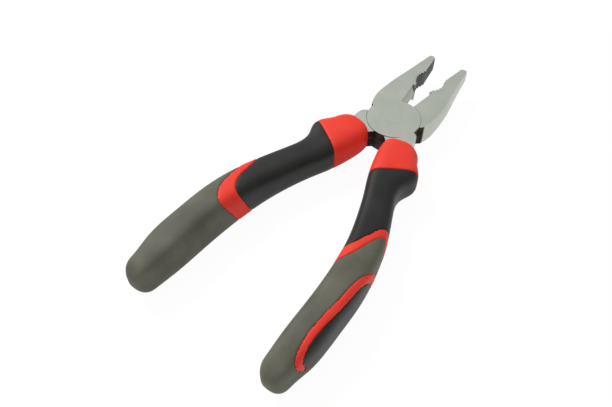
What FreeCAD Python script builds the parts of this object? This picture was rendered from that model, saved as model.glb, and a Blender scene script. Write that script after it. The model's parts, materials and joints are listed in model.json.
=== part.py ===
import FreeCAD, Part
import math
import os

# Lineman pliers, 200 mm combination pattern.  Millimetres.
# X runs across the tool, Y runs along it towards the jaw tips, Z runs up through the joint.
# Everything is built about the middle plane of the joint, in the pose where the pliers stand
# part open, and is raised at the end so that Z = 0 is the lower flat face of the joint.
# The lower half is the upper half turned half a turn about Y, as on the real forgings.

V = FreeCAD.Vector
Z_AXIS = V(0, 0, 1)
Y_AXIS = V(0, 1, 0)

# ---- joint ----
HALF_T = 5.7            # half the thickness of the head at the joint
DISC_R = 13.5           # radius of the joint disc
DISC_CLEAR = 0.15       # radial gap between a disc and the pocket that turns round it
LAP_CLEAR = 0.05        # each disc stands this far back from the middle plane
RIVET_R = 4.0           # pivot rivet
RIVET_CLEAR = 0.04      # radial running clearance in the upper half
OPEN_HALF = 8.0         # each half is turned this many degrees from closed

# ---- jaws, drawn closed, left of the centre line ----
BITE_X = -0.05          # flat gripping face, just short of the centre line
TIP_Y = 57.3            # where the outer side meets the rounded tip
# outer side: along the jaw, half width at its widest level, how far the top face stands inside it
JAW_SIDE = [
    (5.1, 14.5, 0.1), (8.5, 15.1, 0.15), (12.4, 15.5, 0.4), (17.4, 15.4, 1.0), (22.9, 14.6, 1.6),
    (28.2, 13.3, 1.7), (33.9, 11.4, 1.7), (40.1, 9.3, 1.6), (45.8, 7.4, 1.4), (51.4, 5.6, 1.1),
    (TIP_Y, 3.8, 0.8),
]
TIP_APEX = (2.2, 58.1)
TIP_INNER = (0.6, 57.4)
ROOT_INNER = (12.9, 3.5)    # inner end of the stop wall at the jaw's root, inside the disc
EDGE_LEVELS = [(1.0, 1.0), (0.72, 0.40), (0.3, 0.0)]   # share of half thickness, share of the inset
TAPER = [(14.0, HALF_T), (26.0, 5.45), (40.0, 4.85), (60.0, 3.8)]   # along the jaw, half thickness

# ---- gripping features ----
PIPE_TOP, PIPE_BOTTOM, PIPE_DEPTH = 43.0, 29.0, 2.7
PIPE_TEETH, PIPE_TOOTH = 7, 0.75
SERRATION_PITCH, SERRATION_DEPTH, SERRATIONS = 1.1, 0.32, 11
CUTTER_RUN = 1.7        # how far the cutter bevel falls back at each face

# ---- neck and tang of the right handle, part open ----
NECK_OUTER = [
    (12.6, -2.4), (13.6, -2.9), (15.1, -3.8), (16.4, -5.9), (16.8, -9.5), (18.2, -14.5),
    (21.4, -23.0), (22.6, -31.0), (23.8, -40.0), (28.6, -54.0), (34.4, -71.0), (38.2, -88.0),
    (39.3, -97.0),
]
NECK_INNER = [
    (33.4, -98.5), (31.4, -88.0), (27.6, -73.0), (21.6, -57.0), (16.2, -43.0), (12.4, -32.0),
    (9.2, -22.5), (6.4, -16.8), (4.6, -14.9), (3.3, -13.7), (1.8, -12.4),
]
TANG_SIDE = [(-8.0, HALF_T), (-14.0, 5.3), (-22.0, 4.6), (-60.0, 4.2), (-110.0, 3.6)]

# ---- grip of the right handle: along Y, inner X, outer X, half thickness ----
GRIP = [
    (-8.0, 3.6, 17.6, 7.4), (-13.0, 4.2, 21.0, 8.0), (-18.0, 4.6, 24.6, 8.6), (-23.0, 5.3, 28.2, 9.0),
    (-26.5, 6.2, 29.9, 9.1), (-30.0, 7.2, 29.3, 9.0), (-34.0, 8.5, 27.8, 8.8), (-38.0, 9.9, 27.4, 8.5),
    (-47.0, 13.8, 30.1, 8.2), (-59.0, 18.5, 35.4, 8.3), (-74.0, 23.3, 40.3, 9.5), (-92.0, 26.6, 43.4, 10.7),
    (-110.0, 28.1, 44.1, 11.1), (-126.0, 28.7, 43.9, 10.4), (-136.0, 29.5, 42.2, 9.3),
]
END_LENGTH = 8.0        # rounded end beyond the last station
END_STEPS = [0.45, 0.75, 0.92, 0.99]
CORNER_POWER = 0.56     # below 1 the section is a rounded box, 1 is an ellipse
SECTION_POINTS = 36
SKIN = 2.0              # thickness of the sleeves over the red core

# ---- where the colours meet on the right grip, top face then bottom face ----
FACE_Z = 9.0            # height of the face that the lists below lie on
CUT_Z = 14.0            # cutters reach this far above and below the middle plane
COLLAR_FRONT = [(-2.0, -20.5), (5.0, -15.4), (13.5, -12.6), (20.5, -12.1), (30.0, -14.5)]
COLLAR_REAR = [(-10.0, -49.4), (50.0, -12.0)]
BAND_FRONT_TOP = [(50, -55), (39, -57.6), (35.2, -60.1), (32.9, -62.7), (31.6, -66.4), (30, -71.4),
                  (28.2, -76.5), (25.2, -80), (15, -82)]
BAND_FRONT_BOTTOM = [(50, -60.5), (39, -61.8), (35.6, -63.6), (34.3, -67), (33.9, -71.4), (33.4, -77.7),
                     (31.4, -82.9), (27, -86.6), (15, -89)]
BAND_REAR_TOP = [(50, -60), (39.5, -61.9), (36.4, -64.3), (34.5, -68.4), (32.7, -74.5), (31, -81.6),
                 (28.6, -86), (25.2, -88.6), (15, -90)]
BAND_REAR_BOTTOM = [(50, -69), (41, -70.6), (38.2, -73.5), (37.3, -79.8), (36.2, -86.1), (34, -90.8),
                    (30.2, -94.7), (26, -96.3), (15, -97)]
RIM_TOP = [(52, -80), (43.2, -83), (41.1, -86.1), (40.1, -91.4), (39.7, -105), (38.8, -115.6),
           (38.6, -123), (39.6, -132), (40.8, -136), (44, -139), (52, -141)]
RIM_BOTTOM = [(52, -66), (43.2, -69), (41.3, -73), (42.8, -82), (45.1, -105), (44.2, -115.6),
              (44, -123), (43.4, -132), (42.8, -135), (46, -137), (52, -139)]
PAD_TOP = [(54, -81.5), (44.5, -84.8), (42.9, -88.2), (42.4, -93), (42.1, -106), (41.3, -116),
           (41.1, -123), (41.7, -130), (42.7, -134), (46, -137), (54, -139)]
PAD_BOTTOM = [(54, -69), (44.5, -72), (42, -75.5), (42.6, -84), (44.2, -106), (43.4, -116),
              (43.2, -123), (43, -129), (43, -132), (47, -134), (54, -136)]


def vec(point, z=0.0, side=1.0):
    return V(side * point[0], point[1], z)


def spline(vectors):
    curve = Part.BSplineCurve()
    curve.interpolate(vectors)
    return curve.toShape()


def line(a, b):
    return Part.LineSegment(a, b).toShape()


def prism(edges, z_low, z_high):
    """A flat outline at z_low pulled up to z_high."""
    face = Part.Face(Part.Wire(edges))
    face.translate(V(0, 0, z_low))
    return face.extrude(V(0, 0, z_high - z_low))


def polygon_edges(points, z=0.0):
    vectors = [vec(p, z) for p in points]
    return Part.makePolygon(vectors + [vectors[0]]).Edges


def disc(radius, z_low, z_high):
    return Part.makeCylinder(radius, z_high - z_low, V(0, 0, z_low))


def turned(shape, axis, degrees):
    copy = shape.copy()
    copy.rotate(V(0, 0, 0), axis, degrees)
    return copy


# ---------------------------------------------------------------- steel halves

def jaw_outline(inset_share):
    """Closed outline of the closed left jaw with its outer side set in by a share of the inset."""
    side = [V(-(width - inset * inset_share), y, 0) for y, width, inset in JAW_SIDE]
    tip_inset = JAW_SIDE[-1][2] * inset_share
    apex = V(-TIP_APEX[0] + 0.3 * tip_inset, TIP_APEX[1] - tip_inset, 0)
    inner_tip = V(-TIP_INNER[0], TIP_INNER[1] - tip_inset, 0)
    edge_tip = V(-BITE_X, TIP_INNER[1] - 0.8 - tip_inset, 0)
    edge_root = V(-BITE_X, ROOT_INNER[1], 0)
    root = V(-ROOT_INNER[0], ROOT_INNER[1], 0)
    tip_arc = Part.Arc(side[-1], apex, inner_tip).toShape()
    return [spline(side), tip_arc, line(inner_tip, edge_tip), line(edge_tip, edge_root),
            line(edge_root, root), line(root, side[0])]


def jaw_blank():
    wires = []
    levels = EDGE_LEVELS + [(-share, inset) for share, inset in reversed(EDGE_LEVELS)]
    for share, inset in levels:
        wire = Part.Wire(jaw_outline(inset))
        wire.translate(V(0, 0, share * HALF_T))
        wires.append(wire)
    return Part.makeLoft(wires, True, True)


def taper_cutters():
    """Two blocks that thin the nose towards the tip, one above and one below."""
    curve = [V(-30, y, z) for y, z in TAPER]
    top = V(-30, TAPER[-1][0], HALF_T + 3)
    corner = V(-30, TAPER[0][0], HALF_T + 3)
    edges = [spline(curve), line(curve[-1], top), line(top, corner), line(corner, curve[0])]
    upper = Part.Face(Part.Wire(edges)).extrude(V(60, 0, 0))
    return [upper, turned(upper, Y_AXIS, 180)]


def bite_cutter():
    """Everything right of the gripping face: serrated flat, toothed pipe grip, plain cutter zone."""
    points = [(20, 70), (BITE_X, 70)]
    start = PIPE_TOP + 0.6 + SERRATIONS * SERRATION_PITCH
    for i in range(SERRATIONS):
        y = start - i * SERRATION_PITCH
        points.append((BITE_X, y))
        points.append((BITE_X - SERRATION_DEPTH, y - 0.5 * SERRATION_PITCH))
    points.append((BITE_X, PIPE_TOP + 0.6))
    half = 0.5 * (PIPE_TOP - PIPE_BOTTOM)
    radius = (half ** 2 + PIPE_DEPTH ** 2) / (2 * PIPE_DEPTH)
    centre = (BITE_X + radius - PIPE_DEPTH, 0.5 * (PIPE_TOP + PIPE_BOTTOM))
    sweep = math.asin(half / radius)
    steps = 2 * PIPE_TEETH
    for i in range(steps + 1):
        angle = sweep * (1 - 2 * i / steps)
        reach = radius - (PIPE_TOOTH if i % 2 == 0 and 0 < i < steps else 0.0)
        points.append((centre[0] - reach * math.cos(angle), centre[1] + reach * math.sin(angle)))
    points += [(BITE_X, 2.0), (20, 2.0)]
    return prism(polygon_edges(points), -10, 10)


def cutter_bevel():
    """Wedge that leaves a cutting edge on the middle plane, bevelled to both faces."""
    reach = 2 * HALF_T
    back = BITE_X - CUTTER_RUN * 2
    section = [V(BITE_X, PIPE_BOTTOM, 0), V(back, PIPE_BOTTOM, reach), V(20, PIPE_BOTTOM, reach),
               V(20, PIPE_BOTTOM, -reach), V(back, PIPE_BOTTOM, -reach)]
    face = Part.Face(Part.makePolygon(section + [section[0]]))
    return face.extrude(V(0, 2.0 - PIPE_BOTTOM, 0))


def jaw():
    shape = jaw_blank().cut(bite_cutter()).cut(cutter_bevel())
    for block in taper_cutters():
        shape = shape.cut(block)
    return turned(shape, Z_AXIS, OPEN_HALF)


def neck_and_tang():
    outer = [vec(p) for p in NECK_OUTER]
    inner = [vec(p) for p in NECK_INNER]
    end = Part.Arc(outer[-1], V(36.6, -100.6, 0), inner[0]).toShape()
    edges = [spline(outer), end, spline(inner), line(inner[-1], V(0, -8, 0)),
             line(V(0, -8, 0), V(8, -1, 0)), line(V(8, -1, 0), outer[0])]
    blank = prism(edges, -HALF_T, HALF_T)
    side = [V(-10, y, z) for y, z in TANG_SIDE]
    below = [V(-10, y, -z) for y, z in reversed(TANG_SIDE)]
    front_top = V(-10, 5, HALF_T)
    front_low = V(-10, 5, -HALF_T)
    wire = Part.Wire([line(front_top, side[0]), spline(side), line(side[-1], below[0]), spline(below),
                      line(below[-1], front_low), line(front_low, front_top)])
    return blank.common(Part.Face(wire).extrude(V(80, 0, 0)))


def steel_half(hole_radius):
    body = jaw().fuse(neck_and_tang())
    body = body.cut(disc(DISC_R + DISC_CLEAR, -20, LAP_CLEAR))
    body = body.fuse(disc(DISC_R, LAP_CLEAR, HALF_T))
    body = body.cut(disc(hole_radius, -20, 20))
    return body.removeSplitter()


# ---------------------------------------------------------------- grips

def grip_section(y, x_inner, x_outer, half_z, shrink=1.0):
    centre = 0.5 * (x_inner + x_outer)
    half_x = 0.5 * (x_outer - x_inner) * shrink
    points = []
    for i in range(SECTION_POINTS):
        angle = 2 * math.pi * i / SECTION_POINTS
        c = math.cos(angle)
        s = math.sin(angle)
        x = math.copysign(abs(c) ** CORNER_POWER, c)
        z = math.copysign(abs(s) ** CORNER_POWER, s)
        points.append(V(centre + half_x * x, y, half_z * shrink * z))
    curve = Part.BSplineCurve()
    curve.interpolate(Points=points, PeriodicFlag=True)
    return Part.Wire(curve.toShape())


def grip_body(inset):
    """The whole grip as one smooth solid, set in on every side."""
    wires = []
    for y, x_inner, x_outer, half_z in GRIP:
        wires.append(grip_section(y, x_inner + inset, x_outer - inset, half_z - inset))
    y, x_inner, x_outer, half_z = GRIP[-1]
    for step in END_STEPS:
        shrink = (1 - step ** 2.2) ** (1 / 2.2)
        end_y = y - (END_LENGTH - inset) * step
        wires.append(grip_section(end_y, x_inner + inset, x_outer - inset, half_z - inset, shrink))
    return Part.makeLoft(wires, True, False)


def stretched(top, bottom, share):
    """The two face outlines carried on in a straight line to a cutter's own height."""
    return [(a[0] + (a[0] - b[0]) * share, a[1] + (a[1] - b[1]) * share) for a, b in zip(top, bottom)]


def curtain(top, bottom, far):
    """Region between a boundary and the far corners; the boundary leans from top to bottom face."""
    share = (CUT_Z - FACE_Z) / (2 * FACE_Z)
    wires = []
    for points, z in ((stretched(top, bottom, share), CUT_Z), (stretched(bottom, top, share), -CUT_Z)):
        vectors = [vec(p, z) for p in points]
        corners = [vec(p, z) for p in far]
        edges = [spline(vectors)] if len(vectors) > 2 else [line(vectors[0], vectors[1])]
        chain = [vectors[-1]] + corners + [vectors[0]]
        edges += [line(a, b) for a, b in zip(chain, chain[1:])]
        wires.append(Part.Wire(edges))
    return Part.makeLoft(wires, True, True)


def right_grip(steel):
    rear_far = [(15, -170), (70, -170)]
    behind_front = curtain(COLLAR_FRONT, COLLAR_FRONT, [(90, -170), (-30, -170)])
    whole = grip_body(0.0).common(behind_front)
    core = grip_body(SKIN).common(behind_front)
    behind_collar = curtain(COLLAR_REAR, COLLAR_REAR, [(90, -170), (-30, -170)])
    behind_band_front = curtain(BAND_FRONT_TOP, BAND_FRONT_BOTTOM, rear_far)
    behind_band_rear = curtain(BAND_REAR_TOP, BAND_REAR_BOTTOM, rear_far)
    pad_rim = curtain(RIM_TOP, RIM_BOTTOM, [(75, -145), (75, -80)])
    pad_zone = curtain(PAD_TOP, PAD_BOTTOM, [(78, -145), (78, -80)])

    skin = whole.cut(core)
    behind = skin.common(behind_collar)
    neck = behind.cut(behind_band_front)
    rear = skin.common(behind_band_rear)
    palm = rear.cut(pad_rim)
    pad = rear.common(pad_rim).common(pad_zone)
    red = whole.cut(neck).cut(palm).cut(pad).cut(steel)
    return {"grip_core": red, "neck_sleeve": neck, "palm_sleeve": palm, "back_pad": pad}


def biggest_solid(shape):
    solids = sorted(shape.Solids, key=lambda s: s.Volume)
    if len(solids) > 1:
        print("   dropped pieces", [round(s.Volume, 3) for s in solids[:-1]])
    return solids[-1]


def build():
    upper = steel_half(RIVET_R + RIVET_CLEAR)
    lower = turned(steel_half(RIVET_R), Y_AXIS, 180)
    parts = {"upper_half": upper, "lower_half": lower}
    parts["pivot_rivet"] = disc(RIVET_R, -HALF_T, HALF_T)
    for name, shape in right_grip(upper).items():
        solid = biggest_solid(shape)
        parts["right_" + name] = solid
        parts["left_" + name] = turned(solid, Y_AXIS, 180)
    return parts


def main():
    os.makedirs("parts", exist_ok=True)
    for name, shape in build().items():
        shape = biggest_solid(shape)
        shape.translate(V(0, 0, HALF_T))
        box = shape.BoundBox
        print(name, "valid", shape.isValid(), "volume", round(shape.Volume, 1),
              "x %.1f %.1f y %.1f %.1f z %.1f %.1f" % (box.XMin, box.XMax, box.YMin, box.YMax,
                                                       box.ZMin, box.ZMax))
        shape.exportStep("parts/" + name + ".step")


main()
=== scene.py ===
import json
import math
import bmesh
import bpy
from mathutils import Euler, Matrix, Vector


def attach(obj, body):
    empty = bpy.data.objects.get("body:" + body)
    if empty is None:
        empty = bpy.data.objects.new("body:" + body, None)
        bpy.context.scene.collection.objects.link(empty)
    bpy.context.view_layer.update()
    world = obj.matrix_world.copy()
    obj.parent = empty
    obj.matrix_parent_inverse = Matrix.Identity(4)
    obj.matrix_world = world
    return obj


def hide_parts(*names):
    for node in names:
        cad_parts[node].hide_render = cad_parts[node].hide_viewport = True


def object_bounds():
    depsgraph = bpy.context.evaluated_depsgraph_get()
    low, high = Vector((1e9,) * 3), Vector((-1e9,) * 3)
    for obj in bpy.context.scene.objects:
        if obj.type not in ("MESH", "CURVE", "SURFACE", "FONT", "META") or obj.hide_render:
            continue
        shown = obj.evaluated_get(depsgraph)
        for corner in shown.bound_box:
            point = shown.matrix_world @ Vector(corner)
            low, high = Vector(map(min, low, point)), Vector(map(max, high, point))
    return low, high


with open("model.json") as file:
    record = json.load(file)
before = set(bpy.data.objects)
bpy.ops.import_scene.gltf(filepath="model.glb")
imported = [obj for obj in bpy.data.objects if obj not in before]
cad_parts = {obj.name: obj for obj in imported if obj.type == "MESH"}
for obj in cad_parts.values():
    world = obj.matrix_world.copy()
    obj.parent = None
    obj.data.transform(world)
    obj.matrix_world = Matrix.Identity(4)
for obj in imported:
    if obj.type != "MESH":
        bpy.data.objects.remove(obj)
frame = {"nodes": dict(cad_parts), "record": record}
cad_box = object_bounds()

MM = 0.001

# ---- camera: where it stands, its turn about up, its height angle and its small tilt ----
CAMERA_AT = (0.0999, -0.2059, 0.2238)
CAMERA_TURN, CAMERA_LIFT, CAMERA_ROLL = 36.821, 51.388, 0.478
CAMERA_LENS = 36.093

# ---- grip mouldings ----
SLEEVE_VOXEL = 0.45 * MM      # mesh size of the moulded pieces
SOFTEN_ROUNDS = 10            # smoothing passes that round the moulded edges
RED_PROUD = 0.12 * MM         # the red shot swells a little above the sleeves
EDGE_ROUND = 0.22 * MM        # broken edges of the forged halves
EDGE_ANGLE = math.radians(28)     # corners sharper than this are broken
SHARP_ANGLE = math.radians(32)    # corners sharper than this shade sharp
FLAT_ANGLE = math.radians(1.5)    # faces flatter than this are one face
RIVET_ZONE = 5.0 * MM

# ---- grip finishes: darker colour, lighter colour, lowest and highest roughness, grain scale and depth ----
GRIP_LOOKS = {
    "red_shot": ((0.86, 0.036, 0.020), (0.93, 0.050, 0.028), 0.50, 0.62, 2400.0, 0.03 * MM),
    "black_rubber": ((0.012, 0.013, 0.012), (0.021, 0.023, 0.020), 0.44, 0.58, 2600.0, 0.05 * MM),
    "grey_rubber": ((0.105, 0.106, 0.078), (0.150, 0.150, 0.112), 0.55, 0.70, 2600.0, 0.05 * MM),
}

# ---- where the steel changes finish and colour ----
DARK_WALLS_BELOW_Y = (4.4 * MM, 3.6 * MM)      # walls round the joint, towards the handles, coloured dark brown
DARK_WALLS_WITHIN_X = (16.6 * MM, 16.0 * MM)
BITE_FROM_Y = (27.0 * MM, 28.0 * MM)      # machined gripping walls, towards the tips

# ---- studio ----
FLOOR_GAP = 0.2 * MM
FLOOR_HALF = 4.0
ROOM_LIGHT = 0.50
LAMPS = (("key", (-0.52, 0.02, 0.55), 0.30, 3.4), ("fill", (0.5, -0.5, 0.5), 0.6, 0.25))
LAMP_AIM = Vector((0, -0.04, 0))


# ------------------------------------------------------------------ helpers

def merged_copy(node, name):
    """A welded copy of a CAD piece's mesh, in an object of its own."""
    mesh = frame["nodes"][node].data.copy()
    mesh.name = name
    bm = bmesh.new()
    bm.from_mesh(mesh)
    bmesh.ops.remove_doubles(bm, verts=bm.verts, dist=0.001 * MM)
    bm.to_mesh(mesh)
    bm.free()
    mesh.materials.clear()
    piece = bpy.data.objects.new(name, mesh)
    bpy.context.scene.collection.objects.link(piece)
    return piece


def settle_modifiers(piece):
    """Turns a piece's modifiers into plain mesh."""
    depsgraph = bpy.context.evaluated_depsgraph_get()
    mesh = bpy.data.meshes.new_from_object(piece.evaluated_get(depsgraph))
    piece.modifiers.clear()
    piece.data = mesh


def body_name(node):
    for body, nodes in frame["record"]["behaviour"]["bodies"].items():
        if node in nodes:
            return body
    raise ValueError(node)


def finish_piece(piece, node, material):
    piece.data.materials.clear()
    piece.data.materials.append(material)
    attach(piece, body_name(node))
    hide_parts(node)


# ------------------------------------------------------------------ material kit

class Finish:
    """A node material under construction, with short calls for the nodes it needs."""

    def __init__(self, name):
        self.material = bpy.data.materials.new(name)
        self.material.use_nodes = True
        self.tree = self.material.node_tree
        self.shader = self.tree.nodes["Principled BSDF"]
        self.shader.inputs["Specular IOR Level"].default_value = 0.32
        self.coords = self.add("ShaderNodeTexCoord")
        self.place = self.coords.outputs["Object"]

    def add(self, kind, **settings):
        node = self.tree.nodes.new(kind)
        for key, value in settings.items():
            setattr(node, key, value)
        return node

    def wire(self, source, target):
        self.tree.links.new(source, target)

    def noise(self, scale, detail=4.0, stretch=(1, 1, 1)):
        mapping = self.add("ShaderNodeMapping")
        mapping.inputs["Scale"].default_value = stretch
        self.wire(self.place, mapping.inputs["Vector"])
        node = self.add("ShaderNodeTexNoise")
        node.inputs["Scale"].default_value = scale
        node.inputs["Detail"].default_value = detail
        self.wire(mapping.outputs["Vector"], node.inputs["Vector"])
        return node.outputs["Fac"]

    def spread(self, value, low, high, to_low=0.0, to_high=1.0):
        node = self.add("ShaderNodeMapRange")
        for key, number in (("From Min", low), ("From Max", high), ("To Min", to_low), ("To Max", to_high)):
            node.inputs[key].default_value = number
        self.wire(value, node.inputs["Value"])
        return node.outputs["Result"]

    def math(self, operation, a, b):
        node = self.add("ShaderNodeMath", operation=operation)
        for socket, value in zip(node.inputs, (a, b)):
            if isinstance(value, (int, float)):
                socket.default_value = value
            else:
                self.wire(value, socket)
        return node.outputs["Value"]

    def mix(self, factor, a, b):
        node = self.add("ShaderNodeMix", data_type="RGBA")
        self.wire(factor, node.inputs[0])
        for socket, value in ((node.inputs[6], a), (node.inputs[7], b)):
            if isinstance(value, tuple):
                socket.default_value = value + (1.0,)
            else:
                self.wire(value, socket)
        return node.outputs[2]

    def bump(self, height, strength, distance):
        node = self.add("ShaderNodeBump")
        node.inputs["Strength"].default_value = strength
        node.inputs["Distance"].default_value = distance
        self.wire(height, node.inputs["Height"])
        self.wire(node.outputs["Normal"], self.shader.inputs["Normal"])


def satin_chrome(name, inward):
    """Satin plating on the outside, darker machined bite faces, dark brown colour on the walls round the
    joint.

    inward is +1 for the half whose bite faces look along +X and -1 for the other.
    """
    f = Finish(name)
    f.shader.inputs["Metallic"].default_value = 0.6
    at = f.add("ShaderNodeSeparateXYZ")
    f.wire(f.place, at.inputs[0])
    facing = f.add("ShaderNodeSeparateXYZ")
    f.wire(f.coords.outputs["Normal"], facing.inputs[0])
    upright = f.math("ABSOLUTE", facing.outputs["Z"], 0.0)
    is_wall = f.spread(upright, 0.55, 0.35)
    # walls round the joint, towards the handles, get a very dark brown colour and extra roughness
    near_joint = f.spread(at.outputs["Y"], *DARK_WALLS_BELOW_Y)
    across = f.math("ABSOLUTE", at.outputs["X"], 0.0)
    not_outer = f.spread(across, *DARK_WALLS_WITHIN_X)
    dark_walls = f.math("MULTIPLY", f.math("MULTIPLY", is_wall, near_joint), not_outer)
    looks_in = f.spread(f.math("MULTIPLY", facing.outputs["X"], inward), 0.25, 0.45)
    past_cutter = f.spread(at.outputs["Y"], *BITE_FROM_Y)
    bite = f.math("MULTIPLY", f.math("MULTIPLY", is_wall, looks_in), past_cutter)

    cloud = f.noise(90.0, 3.0)
    grain = f.noise(2600.0, 5.0, (1.0, 0.25, 1.0))
    plated = f.mix(f.spread(cloud, 0.3, 0.7), (0.54, 0.58, 0.515), (0.60, 0.63, 0.565))
    machined = f.mix(f.spread(grain, 0.35, 0.65), (0.070, 0.082, 0.080), (0.150, 0.165, 0.160))
    # the very dark brown colour laid on the walls round the joint
    dark_brown = f.mix(f.spread(f.noise(260.0, 4.0), 0.45, 0.7), (0.018, 0.013, 0.011), (0.085, 0.060, 0.048))
    colour = f.mix(dark_walls, f.mix(bite, plated, machined), dark_brown)
    f.wire(colour, f.shader.inputs["Base Color"])
    rough = f.spread(grain, 0.3, 0.7, 0.34, 0.46)
    f.wire(f.math("ADD", rough, f.math("MULTIPLY", dark_walls, 0.3)), f.shader.inputs["Roughness"])
    f.bump(grain, 0.10, 0.03 * MM)
    return f.material


def moulded(name, dark, light, rough_low, rough_high, grain_scale, grain_depth):
    """Moulded plastic or rubber: slow colour drift, fine cast grain and slightly uneven sheen."""
    f = Finish(name)
    drift = f.spread(f.noise(70.0, 5.0), 0.35, 0.65)
    f.wire(f.mix(drift, dark, light), f.shader.inputs["Base Color"])
    grain = f.noise(grain_scale, 6.0)
    f.wire(f.spread(grain, 0.3, 0.7, rough_low, rough_high), f.shader.inputs["Roughness"])
    f.bump(grain, 0.35, grain_depth)
    return f.material


# ------------------------------------------------------------------ pieces

def clear_of_rivet(edge):
    """The flush rivet and its hole are ground together, so their edges stay sharp."""
    return min(v.co.xy.length for v in edge.verts) > RIVET_ZONE


def forged_half(node, name, material):
    """One forging with its sharp edges broken so that they catch a line of light."""
    piece = merged_copy(node, name)
    bm = bmesh.new()
    bm.from_mesh(piece.data)
    bmesh.ops.dissolve_limit(bm, angle_limit=FLAT_ANGLE, verts=bm.verts, edges=bm.edges)
    sharp = [e for e in bm.edges if e.calc_face_angle(0.0) > EDGE_ANGLE and clear_of_rivet(e)]
    bmesh.ops.bevel(bm, geom=sharp, offset=EDGE_ROUND, segments=2, profile=0.5, affect="EDGES",
                    clamp_overlap=True, material=-1)
    bm.to_mesh(piece.data)
    bm.free()
    piece.data.polygons.foreach_set("use_smooth", [True] * len(piece.data.polygons))
    piece.data.set_sharp_from_angle(angle=SHARP_ANGLE)
    weigh = piece.modifiers.new("flat_faces", "WEIGHTED_NORMAL")
    weigh.weight = 100
    weigh.keep_sharp = True
    finish_piece(piece, node, material)
    return piece


def moulding(node, name, material, proud=0.0):
    """A grip moulding with smooth walls and rounded edges."""
    piece = merged_copy(node, name)
    remesh = piece.modifiers.new("cast", "REMESH")
    remesh.mode = "VOXEL"
    remesh.voxel_size = SLEEVE_VOXEL
    soften = piece.modifiers.new("soften", "SMOOTH")
    soften.factor = 0.5
    soften.iterations = SOFTEN_ROUNDS
    settle_modifiers(piece)
    if proud:
        bm = bmesh.new()
        bm.from_mesh(piece.data)
        bm.normal_update()
        for vert in bm.verts:
            vert.co += vert.normal * proud
        bm.to_mesh(piece.data)
        bm.free()
    piece.data.polygons.foreach_set("use_smooth", [True] * len(piece.data.polygons))
    finish_piece(piece, node, material)
    return piece


def grips(red, black, grey):
    for side in ("right", "left"):
        moulding(side + "_grip_core", side + "_red_core", red, RED_PROUD)
        moulding(side + "_neck_sleeve", side + "_black_neck", black)
        moulding(side + "_palm_sleeve", side + "_grey_palm", grey)
        moulding(side + "_back_pad", side + "_black_pad", black)


# ------------------------------------------------------------------ studio

def floor_finish():
    f = Finish("pale_floor")
    f.shader.inputs["Roughness"].default_value = 0.9
    paper = f.mix(f.noise(30.0, 2.0), (0.90, 0.90, 0.90), (0.93, 0.93, 0.93))
    f.wire(paper, f.shader.inputs["Base Color"])
    glow = f.add("ShaderNodeEmission")
    seen = f.add("ShaderNodeLightPath")
    direct = f.math("MAXIMUM", seen.outputs["Is Camera Ray"], seen.outputs["Is Glossy Ray"])
    direct = f.math("MAXIMUM", direct, seen.outputs["Is Transmission Ray"])
    blend = f.add("ShaderNodeMixShader")
    f.wire(f.math("MULTIPLY", direct, 0.9), blend.inputs[0])
    f.wire(f.shader.outputs[0], blend.inputs[1])
    glow.inputs["Strength"].default_value = 1.05
    f.wire(glow.outputs[0], blend.inputs[2])
    f.wire(blend.outputs[0], f.tree.nodes["Material Output"].inputs["Surface"])
    return f.material


def studio():
    bm = bmesh.new()
    bmesh.ops.create_grid(bm, x_segments=1, y_segments=1, size=FLOOR_HALF)
    bmesh.ops.translate(bm, verts=bm.verts, vec=(0, 0, cad_box[0][2] - FLOOR_GAP))
    mesh = bpy.data.meshes.new("floor")
    bm.to_mesh(mesh)
    bm.free()
    mesh.materials.append(floor_finish())
    floor = bpy.data.objects.new("floor", mesh)
    bpy.context.scene.collection.objects.link(floor)

    world = bpy.data.worlds.new("soft_room")
    world.use_nodes = True
    world.node_tree.nodes["Background"].inputs["Color"].default_value = (1, 1, 1, 1)
    world.node_tree.nodes["Background"].inputs["Strength"].default_value = ROOM_LIGHT
    bpy.context.scene.world = world
    for name, place, size, power in LAMPS:
        lamp = bpy.data.lights.new(name, "AREA")
        lamp.size = size
        lamp.energy = power
        holder = bpy.data.objects.new(name, lamp)
        holder.location = place
        holder.rotation_euler = (LAMP_AIM - Vector(place)).to_track_quat("-Z", "Y").to_euler()
        bpy.context.scene.collection.objects.link(holder)


def camera():
    data = bpy.data.cameras.new("camera")
    data.lens = CAMERA_LENS
    data.clip_start = 0.01
    holder = bpy.data.objects.new("camera", data)
    lift = math.radians(90 - CAMERA_LIFT)
    turn = math.radians(CAMERA_TURN)
    aim = Euler((lift, 0, turn), "XYZ").to_matrix() @ Matrix.Rotation(math.radians(CAMERA_ROLL), 3, "Z")
    holder.rotation_euler = aim.to_euler()
    holder.location = CAMERA_AT
    bpy.context.scene.collection.objects.link(holder)
    bpy.context.scene.camera = holder


def main():
    bpy.context.scene.view_settings.view_transform = "Standard"
    camera()
    studio()
    upper_steel = satin_chrome("satin_chrome_upper", 1.0)
    lower_steel = satin_chrome("satin_chrome_lower", -1.0)
    red, black, grey = [moulded(name, *look) for name, look in GRIP_LOOKS.items()]
    forged_half("upper_half", "upper_forging", upper_steel)
    forged_half("lower_half", "lower_forging", lower_steel)
    forged_half("pivot_rivet", "flush_rivet", upper_steel)
    grips(red, black, grey)


main()
